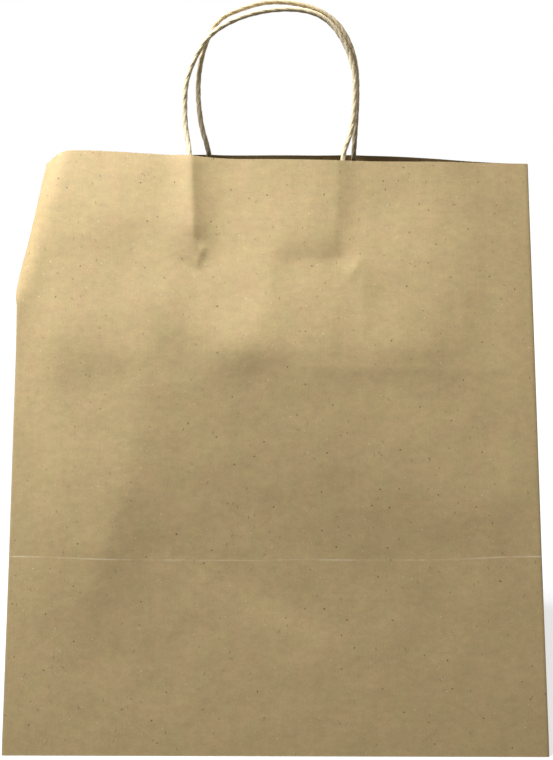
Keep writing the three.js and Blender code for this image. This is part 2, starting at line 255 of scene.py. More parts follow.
# Rounding of a ridge's crest, the shares of its way in which it starts and ends, the fine
# crumples, and the margins in which the relief fades out
PLEAT_CREST = 0.03
PLEAT_STARTS = (-0.18, 0.22)
PLEAT_ENDS = (0.78, 1.18)
CRUMPLE = 0.17
CRUMPLE_SIZE = 34.0
CRUMPLE_GAIN = 0.45
CRUMPLE_SEED = 5
EDGE_FADE = 34.0
BASE_FADE = 14.0


def mound(x, s, place, radii, turn, height):
    """A round-topped dent or bump: a Gaussian of the turned and scaled distance from its place."""
    a = math.radians(turn)
    dx, ds = x - place[0], s - place[1]
    p = (dx * math.cos(a) + ds * math.sin(a)) / radii[0]
    q = (-dx * math.sin(a) + ds * math.cos(a)) / radii[1]
    return height * np.exp(-(p * p + q * q))


def pleat(x, s, start, end, left, right, height, roundness=1.0):
    """A ridge from start to end: an exponential of the distance from the line, raised to the
    roundness, which fades out towards both ends."""
    sx, ss = start
    length = math.hypot(end[0] - sx, end[1] - ss)
    ux, us = (end[0] - sx) / length, (end[1] - ss) / length
    t = ((x - sx) * ux + (s - ss) * us) / length
    d = -(x - sx) * us + (s - ss) * ux
    share = np.sqrt((d / np.where(d > 0, left, right)) ** 2 + PLEAT_CREST) - math.sqrt(PLEAT_CREST)
    fade = smoothstep(t, *PLEAT_STARTS) * (1 - smoothstep(t, *PLEAT_ENDS))
    return height * np.exp(-share ** roundness) * fade


def relief(side, x, s):
    """Slight crumples all over, plus the panel's own swellings and ridges."""
    swells, pleats = (FRONT_SWELLS, FRONT_PLEATS) if side < 0 else (REAR_SWELLS, REAR_PLEATS)
    out = CRUMPLE * wave_noise(x, s, CRUMPLE_SIZE, CRUMPLE_SEED + side, gain=CRUMPLE_GAIN)
    for swell in swells:
        out = out + mound(x, s, *swell)
    for ridge in pleats:
        out = out + pleat(x, s, *ridge)
    return out


def panel_out(side, x, s):
    """Bulge from the crease to the mouth, plus the relief, which fades out at the panel's edges."""
    bulges = FRONT_BULGES if side < 0 else REAR_BULGES
    grow = smoothstep((s - CREASE) / (PANEL_HEIGHT - CREASE))
    plain = sum(height * hump(x - at, width) for at, width, height in bulges) * grow
    inside = smoothstep(HALF_WIDTH - np.abs(x), 0.0, EDGE_FADE) * smoothstep(s, 0.0, BASE_FADE)
    return plain + relief(side, x, s) * inside


# The sheet's plain form

def lean_line(s):
    """A plain panel's distance from the middle and its height: two straight leans that meet at the
    crease."""
    below = np.minimum(s, CREASE)
    above = s - below
    inwards = below * math.sin(LOWER_LEAN) + above * math.sin(UPPER_LEAN)
    height = below * math.cos(LOWER_LEAN) + above * math.cos(UPPER_LEAN)
    return BAG_DEPTH / 2 - inwards, height + FLOOR_OFFSET


MOUTH = float(lean_line(np.array(PANEL_HEIGHT))[1])


def panel_point(side, x, s, inside=0.0):
    """A panel's point at x across the bag, moved out by its swelling and in by `inside`."""
    half, height = lean_line(s)
    lean = np.where(s > CREASE, UPPER_LEAN, LOWER_LEAN)
    out = panel_out(side, x, s) - inside
    return stack(x, side * (half + out * np.cos(lean)), height + out * np.sin(lean))


# The flat triangle that stands on each side of the base: its tilt, its upper tip, and how far
# that tip lies below the crease
TIP_TILT = math.acos((1 - math.sin(LOWER_LEAN)) / math.cos(LOWER_LEAN))
TIP = np.array([HALF_WIDTH - CREASE * math.sin(TIP_TILT), 0,
                CREASE * math.cos(TIP_TILT) + FLOOR_OFFSET])
TIP_DROP = lean_line(CREASE)[1] - TIP[2]

# How far up the gusset still turns from level, and where it takes up the panels' bulges
FOLD_RISE = 12.0
FOLLOW_SPAN = (0.9 * CREASE, 1.3 * CREASE)


def gusset_centre(s):
    """The inner fold of the gusset, half the gusset's width away from both panels' edges."""
    half, height = lean_line(s)
    drop = TIP_DROP * (PANEL_HEIGHT - s) / (PANEL_HEIGHT - CREASE)
    depth = np.sqrt(np.maximum(CREASE ** 2 - half ** 2 - drop ** 2, 0))
    return stack(HALF_WIDTH - depth, 0 * s, height - drop)


def edge_point(side, s):
    """A point of a plain panel's right edge."""
    half, height = lean_line(s)
    return stack(HALF_WIDTH + 0 * s, side * half, height)


def base_triangle(y, s):
    """A point of the flat triangle that stands on the side of the base."""
    return stack(HALF_WIDTH - s * math.sin(TIP_TILT), y, s * math.cos(TIP_TILT) + FLOOR_OFFSET)


def edge_fold(side, s):
    """Points round the arc from the panel into the gusset, one row of them for each height. At the
    base's edge the gusset starts level, and it takes its own direction further up."""
    edge = edge_point(side, s)
    lower = (s < CREASE)[:, None]
    target = np.where(lower, TIP, gusset_centre(np.maximum(s, CREASE)))
    start = np.where(lower, edge_point(side, np.full_like(s, CREASE)), edge)
    level = np.array([0.0, -side, 0.0])
    rise = smoothstep(s, 0.0, FOLD_RISE)[:, None]
    out = unit(unit(target - start) * rise + level * (1 - rise))
    inner = out.copy()
    inner[:, 0] = 0
    inner = unit(inner)
    past = inner[:, 1] * side > 0
    angle = np.arccos(np.clip(out[:, 0], -1, 1))
    turn = np.where(past, 2 * math.pi - angle, angle)
    radius = FOLD_LENGTH / turn
    back = radius * np.where(turn < math.pi / 2, np.tan(np.minimum(turn, 1.5) / 2), 1)
    points = []
    for k in range(FOLD_POINTS):
        a = turn * k / (FOLD_POINTS - 1)
        across = (radius * np.sin(a) - back)[:, None] * np.array([1.0, 0, 0])
        away = np.where(past, -radius, radius) * (1 - np.cos(a))
        points.append(edge + across + away[:, None] * inner)
    return np.stack(points, axis=1)


def middle_fold(s):
    """Points across the gusset's inner fold. Below the crease they lie flat on the triangle."""
    shares = np.linspace(-0.5, 0.5, FOLD_POINTS)
    flat = np.stack([base_triangle(k * FOLD_LENGTH + 0 * s, s) for k in shares], axis=1)
    upper = np.maximum(s, CREASE)
    centre = gusset_centre(upper)
    into = unit(centre - edge_point(-1, upper))
    out = unit(edge_point(1, upper) - centre)
    turn = np.arccos(np.clip((into * out).sum(-1), -1, 1))
    radius = FOLD_LENGTH / turn
    ahead, inner = unit(into + out), unit(out - into)
    bent = np.stack([
        centre + (radius * np.sin(turn * k))[:, None] * ahead
        + (radius * (1 - np.cos(turn * k)))[:, None] * inner for k in shares], axis=1)
    return np.where((s < CREASE)[:, None, None], flat, bent)


def half_gusset(side, s, first, last):
    """Points from the edge's fold to the middle fold. Above the crease they divide the straight
    line. Below it the column nearest to the triangle's slanting fold moves onto that fold."""
    pitch = CREASE / GUSSET_STEPS
    columns = np.arange(1, GUSSET_STEPS) * pitch
    across = np.tile(columns, (len(s), 1))
    nearest = np.round(s / pitch).astype(int)
    rows = np.nonzero((nearest >= 1) & (nearest < GUSSET_STEPS) & (s < CREASE))[0]
    across[rows, nearest[rows] - 1] = s[rows]
    share = (across / CREASE)[..., None]
    upper = first[:, None] * (1 - share) + last[:, None] * share
    edge = edge_point(side, s)[:, None]
    step = TIP - edge_point(side, np.array([CREASE]))
    panel_part = edge + step[:, None] * share
    triangle = base_triangle(side * (CREASE - across), s[:, None])
    lower = np.where(across[..., None] <= s[:, None, None] + 1e-9, panel_part, triangle)
    return np.where((s >= CREASE)[:, None, None], upper, lower), across


def side_block(s):
    """The right side from the front panel to the rear one, with each column's sheet distance."""
    front, rear, middle = edge_fold(-1, s), edge_fold(1, s), middle_fold(s)
    front_half, across = half_gusset(-1, s, front[:, -1], middle[:, 0])
    rear_half, _ = half_gusset(1, s, rear[:, -1], middle[:, -1])
    points = np.concatenate([front, front_half, middle, rear_half[:, ::-1], rear[:, ::-1]], axis=1)
    fold = np.linspace(-0.5, 0.5, FOLD_POINTS) * FOLD_LENGTH
    folds = [np.tile(fold + place, (len(s), 1)) for place in (0, CREASE, 2 * CREASE)]
    distance = np.concatenate(
        [folds[0], across, folds[1], 2 * CREASE - across[:, ::-1], folds[2]], axis=1)
    return points, distance


def follow_panels(points, distance, s):
    """Moves the gusset with the panels that it lies between, in proportion to its place."""
    x = points[..., 0]
    share = np.clip(distance / CREASE, 0, 2)
    level = np.broadcast_to(s[:, None], x.shape)
    lean = math.cos(UPPER_LEAN)
    front = -panel_out(-1, x, level) * lean
    rear = panel_out(1, x, level) * lean
    middle = (front + rear) / 2
    move = np.where(share < 1, front * (1 - share) + middle * share,
                    rear * (share - 1) + middle * (2 - share))
    moved = points.copy()
    moved[..., 1] += move * smoothstep(level, *FOLLOW_SPAN)
    return moved


def bend_corner(points):
    """Bends all layers back as a cone from a point down the left edge: round an arc, and then
    straight. At the mouth all layers bend as one, lower down about planes of their own."""
    x, y, z = points[..., 0], points[..., 1], points[..., 2]
    to_mouth = MOUTH - z
    width = BEND_WIDTH * np.clip(1 - to_mouth / BEND_HEIGHT, 0, None) ** BEND_GROWTH
    beyond = np.maximum(width - HALF_WIDTH - x, 0)
    plane = np.sign(y) * to_mouth * math.tan(UPPER_LEAN)
    radius = BEND_ARC_SHARE * width + BEND_LEAST_RADIUS
    arc = np.minimum(beyond / radius, BEND_ANGLE)
    straight = np.maximum(beyond - radius * BEND_ANGLE, 0)
    layer = radius - (y - plane)
    across = layer * np.sin(arc) + straight * np.cos(arc)
    back = radius - layer * np.cos(arc) + straight * np.sin(arc)
    inwards = beyond - across
    near_mouth = np.clip(1 - to_mouth / BEND_HEIGHT, 0, 1) ** 2
    drop = CORNER_DROP * near_mouth * smoothstep(beyond, 0.0, CORNER_DROP_SPAN)
    bent = stack(x + inwards, plane + back, z - BEND_AXIS_SLOPE * inwards - drop)
    return np.where((beyond > 0)[..., None], bent, points)


def sway(points):
    """The mouth's uneven line: all layers near a place at the mouth rise, sag or lean together.
    It sets in above mid height and dies out in the loops above the mouth."""
    x, y, z = points[..., 0], points[..., 1], points[..., 2]
    share = smoothstep(z, SWAY_START, MOUTH) * (1 - smoothstep(z - MOUTH, *SWAY_FADE))
    left = smoothstep(-x, *LEFT_RISE_SPAN)
    right = smoothstep(x, *RIGHT_SAG_SPAN)
    rise = (LEFT_RISE * left - RIGHT_SAG * right) * share
    return stack(x, y - LEFT_FORWARD * left * share, z + rise)


# Meshes

def vertex_normals(points, faces):
    """Area-weighted mean of the normals of the faces round each point."""
    corners = points[faces]
    cross = np.cross(corners[:, 2] - corners[:, 0], corners[:, -1] - corners[:, 1])
    total = np.zeros_like(points)
    for k in range(faces.shape[1]):
        for axis in range(3):
            total[:, axis] += np.bincount(faces[:, k], cross[:, axis], minlength=len(points))
    return unit(total)


def add_object(name, data):
    """An object with this data, put into the scene."""
    made = bpy.data.objects.new(name, data)
    bpy.context.scene.collection.objects.link(made)
    return made


def make_mesh(name, points, faces, uvs=None, attributes=None, sharp=None):
    """A mesh from an array of points in millimetres and a list of face index arrays."""
    mesh = bpy.data.meshes.new(name)
    loops = np.concatenate([f.ravel() for f in faces]).astype(np.int32)
    sizes = np.concatenate([np.full(len(f), f.shape[1]) for f in faces]).astype(np.int32)
    starts = np.concatenate([[0], np.cumsum(sizes)[:-1]]).astype(np.int32)
    mesh.vertices.add(len(points))
    mesh.vertices.foreach_set("co", (points * MM).astype(np.float32).ravel())
    mesh.loops.add(len(loops))
    mesh.loops.foreach_set("vertex_index", loops)
    mesh.polygons.add(len(sizes))
    mesh.polygons.foreach_set("loop_start", starts)
    mesh.polygons.foreach_set("loop_total", sizes)
    mesh.polygons.foreach_set("use_smooth", np.ones(len(sizes), bool))
    if uvs is not None:
        layer = mesh.uv_layers.new(name="sheet")
        flat = np.concatenate([u.reshape(-1, 2) for u in uvs]) * MM
        layer.data.foreach_set("uv", flat.astype(np.float32).ravel())
    for key, values in (attributes or {}).items():
        data = mesh.attributes.new(key, "FLOAT", "POINT").data
        data.foreach_set("value", values.astype(np.float32))
    mesh.update(calc_edges=True)
    mesh.validate()
    if sharp:
        mesh.set_sharp_from_angle(angle=math.radians(sharp))
    return add_object(name, mesh)


def both_skins(points, quads, triangles, outer, inner, rim, caps=()):
    """Gives a sheet its thickness: each skin is the sheet moved along its own normals. The skins
    are joined along the rim's edges. Returns the points and the lists of faces."""
    all_triangles = np.concatenate([quads[:, [0, 1, 2]], quads[:, [0, 2, 3]], triangles])
    normals = vertex_normals(points, all_triangles)
    count = len(points)
    both = np.concatenate([points + normals * outer[:, None], points - normals * inner[:, None]])
    faces = [quads, quads[:, ::-1] + count]
    if len(triangles):
        faces += [triangles, triangles[:, ::-1] + count]
    start, end = rim[:, 0], rim[:, 1]
    faces.append(np.stack([end, start, start + count, end + count], axis=-1))
    for cap in caps:
        faces += [cap[::-1][None], cap[None] + count]
    return both, faces


# The folded sheet

# Sheet distances of the folds round the bag, and how far on the inner skins lie
ROUND_FOLDS = [0, BAG_WIDTH, BAG_WIDTH + CREASE, BAG_WIDTH + BAG_DEPTH,
               2 * BAG_WIDTH + BAG_DEPTH, 2 * BAG_WIDTH + 3 * CREASE, 2 * BAG_WIDTH + 2 * BAG_DEPTH]
GIRTH = ROUND_FOLDS[-1]
INNER_SKIN_SHIFT = 3000.0
PATCH_SKIN_SHIFT = 500.0


def leg_places(loop):
    """Where across the bag a cord's two legs are."""
    return loop[0][0], loop[-1][0]


def crowded(steps, centres):
    """Places between a panel's edges, about three times as close together near the centres."""
    fine = np.linspace(-HALF_WIDTH, HALF_WIDTH, FINE_POINTS)
    weight = 1 + 2 * np.max([hump(fine - centre, CROWDED_HALF_SPAN) for centre in centres], axis=0)
    reach = np.concatenate([[0], np.cumsum((weight[1:] + weight[:-1]) / 2)])
    return np.interp(np.linspace(0, reach[-1], steps + 1), reach, fine)[1:-1]


def sheet_faces(rows, columns, sizes, along):
    """Quads, and triangles where the slanting folds of the end triangles cross the sides' cells.
    In the second half of a side they are cut the other way."""
    cells = grid_cells(rows, columns, closed=True)
    i, j = np.indices(cells.shape[:2])
    slanted = np.zeros(i.shape, bool)
    turned = np.zeros(i.shape, bool)
    for start in (sizes[0], sizes[0] + sizes[1] + sizes[2]):
        place = j - start
        within = (place >= 0) & (place < sizes[1] - 1)
        slanted |= within & (along[i] >= 0) & (along[i + 1] <= CREASE)
        turned |= within & (place >= (sizes[1] - 1) / 2)
    one_way, other_way = cells[slanted & ~turned], cells[slanted & turned]
    triangles = np.concatenate([one_way[:, [0, 1, 2]], one_way[:, [0, 2, 3]],
                                other_way[:, [0, 1, 3]], other_way[:, [1, 2, 3]]])
    return cells[~slanted], triangles


def sheet_uvs(faces, rounds, along):
    """Sheet coordinates of each face corner. The last column's cells end at the whole girth, and
    the inner skin lies beside the outer one."""
    flat_round = np.tile(rounds.ravel(), 2)
    flat_along = np.tile(np.repeat(along, rounds.shape[1]), 2)
    skin = np.repeat([0.0, INNER_SKIN_SHIFT], rounds.size)
    uvs = []
    for group in faces:
        u = flat_round[group]
        if group.shape[1] <= 4:
            wide = (u.max(axis=1) - u.min(axis=1) > GIRTH / 2)[:, None]
            u = np.where(wide & (u < GIRTH / 2), u + GIRTH, u)
        uvs.append(np.stack([u + skin[group], flat_along[group]], axis=-1))
    return uvs


def bag_sheet():
    """Rows of points from the middle of the base out to its edge, and then up to the mouth. Each
    row goes once around: front panel, right side, rear panel, left side."""
    s = np.concatenate([np.linspace(0, CREASE - CREASE_ROW_GAP, LOWER_ROWS), [CREASE],
                        np.linspace(CREASE + CREASE_ROW_GAP, PANEL_HEIGHT, UPPER_ROWS)])
    front_x = crowded(FRONT_STEPS, leg_places(FRONT_LOOP))
    rear_x = crowded(REAR_STEPS, leg_places(REAR_LOOP))
    seam = HALF_WIDTH - SEAM_WIDTH
    rear_x = np.sort(np.concatenate([rear_x, [seam - SEAM_STEP, seam]]))[::-1]
    side, distance = side_block(s)
    left_side = side * np.array([-1.0, 1, 1])
    blocks = [
        panel_point(-1, front_x[None], s[:, None]),
        follow_panels(side, distance, s),
        panel_point(1, rear_x[None], s[:, None]),
        follow_panels(left_side, distance, s)[:, ::-1],
    ]
    sizes = [b.shape[1] for b in blocks]
    wall = sway(bend_corner(np.concatenate(blocks, axis=1)))
    rounds = np.concatenate([
        np.tile(front_x + HALF_WIDTH, (len(s), 1)),
        BAG_WIDTH + distance,
        np.tile(BAG_WIDTH + BAG_DEPTH + HALF_WIDTH - rear_x, (len(s), 1)),
        GIRTH - distance[:, ::-1],
    ], axis=1)

    # The base: rings inside its edge. The rear flap is outermost, and its edge crosses the front
    # flap; both long flaps lie over the end triangles
    insets = np.array(BASE_INSETS)[::-1]
    recess = np.repeat(BASE_RECESSES, sizes) * PAPER
    shrink_x = (HALF_WIDTH - insets) / HALF_WIDTH
    shrink_y = (BAG_DEPTH / 2 - insets) / (BAG_DEPTH / 2)
    recessed = (insets > BASE_RECESSED[0]) & (insets < BASE_RECESSED[1])
    base = stack(wall[0, :, 0] * shrink_x[:, None], wall[0, :, 1] * shrink_y[:, None],
                 FLOOR_OFFSET + recessed[:, None] * recess)
    grid = np.concatenate([base, wall])
    along = np.concatenate([-insets, s])
    rounds = np.concatenate([np.tile(rounds[0], (len(insets), 1)), rounds])
    rows, columns = grid.shape[:2]
    quads, triangles = sheet_faces(rows, columns, sizes, along)

    # The seam's second layer lies on the rear panel as far as the right fold
    in_seam = np.zeros(columns, bool)
    rear_start = sizes[0] + sizes[1]
    in_seam[rear_start - 2:rear_start + int((rear_x >= seam).sum())] = True
    above = along >= 0
    outer = PAPER / 2 + PAPER * (above[:, None] & in_seam[None])
    inner = np.where(above, PAPER / 2, BASE_INNER_PAPERS * PAPER)[:, None] + np.zeros(columns)
    last = (rows - 1) * columns + np.arange(columns)
    rim = np.stack([last, np.roll(last, -1)], axis=-1)
    both, faces = both_skins(grid.reshape(-1, 3), quads, triangles, outer.ravel(), inner.ravel(),
                             rim, caps=[np.arange(columns)])
    return make_mesh("folded_sheet", both, faces, sheet_uvs(faces, rounds, along), sharp=50)


def thin_sheet(name, grid, uv_start, flip):
    """A closed wall about a grid of points, with its four edges joined."""
    rows, columns = grid.shape[:2]
    quads = grid_cells(rows, columns, closed=False).reshape(-1, 4)
    ring = np.concatenate([np.arange(columns - 1), np.arange(rows - 1) * columns + columns - 1,
                           (rows - 1) * columns + np.arange(columns - 1, 0, -1),
                           np.arange(rows - 1, 0, -1) * columns])
    rim = np.stack([ring, np.roll(ring, -1)], axis=-1)
    if flip:
        quads, rim = quads[:, ::-1], rim[:, ::-1]
    half = np.full(rows * columns, PAPER / 2)
    both, faces = both_skins(grid.reshape(-1, 3), quads, np.zeros((0, 3), int), half, half, rim)
    u = np.tile(lengths_along(grid[0]), (rows, 1)).ravel() + uv_start[0]
    v = np.repeat(lengths_along(grid[:, 0]), columns) + uv_start[1]
    u, v = np.concatenate([u, u]), np.concatenate([v, v + PATCH_SKIN_SHIFT])
    uvs = [np.stack([u[f], v[f]], axis=-1) for f in faces]
    return make_mesh(name, both, faces, uvs)


# Handles

HANDLES = {"front": (-1, FRONT_LOOP), "rear": (1, REAR_LOOP)}
PATCH_COLUMNS = 111
PATCH_ROWS = 41

# How far inside the panel's middle each layer lies, with paper as thick as in the solids
LAYER = 0.2
BACKING_INSIDE = LAYER / 2 + CLEARANCE + LAYER / 2
CORD_INSIDE = BACKING_INSIDE + LAYER / 2 + CLEARANCE + CORD_DIAMETER / 2
COVER_INSIDE = BACKING_INSIDE + LAYER + CLEARANCE
RIDGE_HEIGHT = CORD_INSIDE + CORD_DIAMETER / 2 + 2 * CLEARANCE + LAYER / 2 - COVER_INSIDE


def patch(name, side, loop, inside, covers, uv_start):
    """A rectangle of paper inside the panel, raised as squared cosines over the two cord legs."""
    left, right = leg_places(loop)
    middle = (left + right) / 2
    x = np.linspace(middle - PATCH_WIDTH / 2, middle + PATCH_WIDTH / 2, PATCH_COLUMNS)
    top = PANEL_HEIGHT - PATCH_MARGIN
    s = np.linspace(top - PATCH_HEIGHT, top, PATCH_ROWS)
    x, s = np.meshgrid(x, s)
    ridge = np.maximum(hump(x - left, RIDGE_HALF_WIDTH), hump(x - right, RIDGE_HALF_WIDTH))
    end = PANEL_HEIGHT - LEG_DEPTH - CLEARANCE
    raised = RIDGE_HEIGHT * ridge * smoothstep(s, end - RIDGE_END, end) if covers else 0.0
    grid = sway(panel_point(side, x, s, inside + raised))
    return thin_sheet(name, grid, uv_start, flip=side > 0)


def smooth_path(points, step):
    """A natural cubic spline through the points, by chord length, sampled at an even step."""
    points = np.asarray(points, float)
    t = lengths_along(points)
    n, h = len(t), np.diff(t)
    matrix, right = np.zeros((n, n)), np.zeros((n, 3))
    matrix[0, 0] = matrix[-1, -1] = 1
    k = np.arange(1, n - 1)
    matrix[k, k - 1], matrix[k, k], matrix[k, k + 1] = h[:-1], 2 * (h[:-1] + h[1:]), h[1:]
    slope = np.diff(points, axis=0) / h[:, None]
    right[1:-1] = 6 * np.diff(slope, axis=0)
    bend = np.linalg.solve(matrix, right)
    at = np.linspace(0, t[-1], FINE_POINTS)
    cell = np.clip(np.searchsorted(t, at, side="right") - 1, 0, n - 2)
    a, b, w = (t[cell + 1] - at)[:, None], (at - t[cell])[:, None], h[cell][:, None]
    fine = ((bend[cell] * a ** 3 + bend[cell + 1] * b ** 3) / (6 * w)
            + (points[cell] / w - bend[cell] * w / 6) * a
            + (points[cell + 1] / w - bend[cell + 1] * w / 6) * b)
    reach = lengths_along(fine)
    count = int(round(reach[-1] / step)) + 1
    even = np.linspace(0, reach[-1], count)
    return np.stack([np.interp(even, reach, fine[:, c]) for c in range(3)], axis=1), even


def cord_route(side, loop):
    """Up one leg, round the loop and down the other leg. Away from the mouth the loop settles into
    a plane of its own: an exponential of the height."""
    left, right = leg_places(loop)
    s = PANEL_HEIGHT - np.linspace(1, LEG_TOP_SHARE, LEG_POINTS) * LEG_DEPTH
    legs = [panel_point(side, np.full(LEG_POINTS, x), s, CORD_INSIDE) for x in (left, right)]
    rest = LOOP_PLANE + side * (CORD_DIAMETER + CLEARANCE) / 2
    above = []
    for x, up in loop:
        foot_x = left if x < 0 else right
        foot = panel_point(side, np.array(foot_x), np.array(PANEL_HEIGHT), CORD_INSIDE)[1]
        above.append((x, rest + (foot - rest) * math.exp(-up / LOOP_SETTLE_RISE), MOUTH + up))
    return sway(np.concatenate([legs[0], np.array(above), legs[1][::-1]]))


# The cords' strands and lay, how far they are flattened to a round section, the steps along and
# around them, and how far twist, outline and thickness wander
STRANDS = 3
LAY_LENGTH = 25.0
CORD_FLATTENING = 0.78
CORD_STEP = 0.9
CORD_AROUND = 42
SEAM_LEAST_SQUARE = 0.02
TWIST_WANDER = 0.035
UNEVENNESS = 0.035
UNEVENNESS_SIZE = 5.0
UNEVENNESS_PER_RADIAN = 3.0
SEED_SHIFT = 300
THICKENING = 0.03
THICKENING_SIZE = 26.0


def strand_outline(angle):
    """Radius of three touching circles seen from their middle, flattened towards the round cord,
    and the place across the strand."""
    strand = CORD_DIAMETER / 2 / (1 + 2 / math.sqrt(3))
    centre = strand * 2 / math.sqrt(3)
    share = 2 * math.pi / STRANDS
    near = (angle + share / 2) % share - share / 2
    lobes = centre * np.cos(near) + np.sqrt(
        np.maximum(strand ** 2 - (centre * np.sin(near)) ** 2, SEAM_LEAST_SQUARE))
    outline = CORD_FLATTENING * CORD_DIAMETER / 2 + (1 - CORD_FLATTENING) * lobes
    return outline, near / share * 2 * strand * math.pi / 2


def twisted_cord(name, side, loop, seed, uv_start):
    """A rope of three strands: its section is the strands' outline, which turns as it is carried
    along the path. Paper folds in each strand roughen the outline a little."""
    path, reach = smooth_path(cord_route(side, loop), CORD_STEP)
    tangent = unit(np.gradient(path, axis=0))
    first = unit(np.cross(tangent, [0.0, 1.0, 0.0]))
    second = np.cross(tangent, first)
    around, rows = CORD_AROUND, len(reach)
    angle = np.arange(around) * 2 * math.pi / around
    outline, strand_at = strand_outline(angle)
    rng = np.random.default_rng(seed)
    wander = np.cumsum(rng.normal(0, TWIST_WANDER, rows))
    wander -= np.linspace(0, wander[-1], rows)
    twist = 2 * math.pi * reach / LAY_LENGTH + wander
    a, r = np.meshgrid(angle, reach)
    rough = UNEVENNESS * wave_noise(
        a * UNEVENNESS_PER_RADIAN, r + SEED_SHIFT * seed, UNEVENNESS_SIZE, seed, 2)
    thicker = 1 + THICKENING * wave_noise(r, 0 * r, THICKENING_SIZE, seed + 1, 2)
    radius = outline[None] * thicker * (1 + rough)
    turn = a + twist[:, None]
    grid = path[:, None] + radius[..., None] * (
        np.cos(turn)[..., None] * first[:, None] + np.sin(turn)[..., None] * second[:, None])
    points = np.concatenate([grid.reshape(-1, 3), path[:1], path[-1:]])
    quads = grid_cells(rows, around, closed=True).reshape(-1, 4)
    k = np.arange(around)
    top = (rows - 1) * around
    ends = np.concatenate([
        np.stack([np.full(around, rows * around), (k + 1) % around, k], axis=-1),
        np.stack([np.full(around, rows * around + 1), top + k, top + (k + 1) % around], axis=-1)])
    rise = (outline - outline.min()) / (outline.max() - outline.min())
    from_end = np.minimum(reach, reach[-1] - reach) * MM
    u = np.append(np.repeat(reach, around), [0, reach[-1]]) + uv_start[0]
    v = np.append(np.tile(strand_at, rows), [0, 0]) + uv_start[1]
    uvs = [np.stack([u[group], v[group]], axis=-1) for group in (quads, ends)]
    return make_mesh(name, points, [quads, ends], uvs, attributes={
        "strand_rise": np.append(np.tile(rise, rows), [1, 1]),
        "from_end": np.append(np.repeat(from_end, around), [0, 0])})


# Materials

def srgb(*values):
    """A colour's linear values from its screen values of 0 to 255."""
    linear = [v / 255 / 12.92 if v <= 10.3 else ((v / 255 + 0.055) / 1.055) ** 2.4 for v in values]
    return (*linear, 1.0)


WHITE = (1.0, 1.0, 1.0, 1.0)
KRAFT = srgb(187, 162, 115)
PATCH = srgb(176, 152, 110)
DARK_FIBRE = srgb(92, 70, 42)
PALE_FIBRE = srgb(226, 208, 168)
# Painted shade on the inner skins, inside the bag, and how much of it is laid on
INSIDE_PAINTED_SHADE = (0.35, 0.32, 0.28, 1.0)
INSIDE_SHADE_SHARE = 0.55
NOISE_SPAN = (0.3, 0.7)
BUMP_STRENGTH = 0.35
BUMP_DISTANCE = 0.0002

# The crease's line hangs lower near the panel's middle: drop, and from where to where across the
# bag. It is worn most between the two places of its end span
CREASE_SAG = 2.3
CREASE_SAG_SPAN = (178.0, 90.0)
CREASE_END_SPAN = (120.0, 170.0)
CREASE_WAVER = 2.0
CREASE_HALF_WIDTH = 0.7
FOLD_HALF_WIDTH = 1.0

# Each cord's colour, and its tone at the mouth: painted shade that fades out over a span further up
# The rear cord is painted darker than the front one: painted shade, as both are the same cord stock
CORDS = {"front": (srgb(224, 206, 166), 1.0), "rear": (srgb(208, 188, 148), 0.52)}
FOOT_SHADE_SPAN = 45.0
# Painted shade in the grooves between the strands
CORD_GROOVE_SHADE = srgb(150, 128, 92)


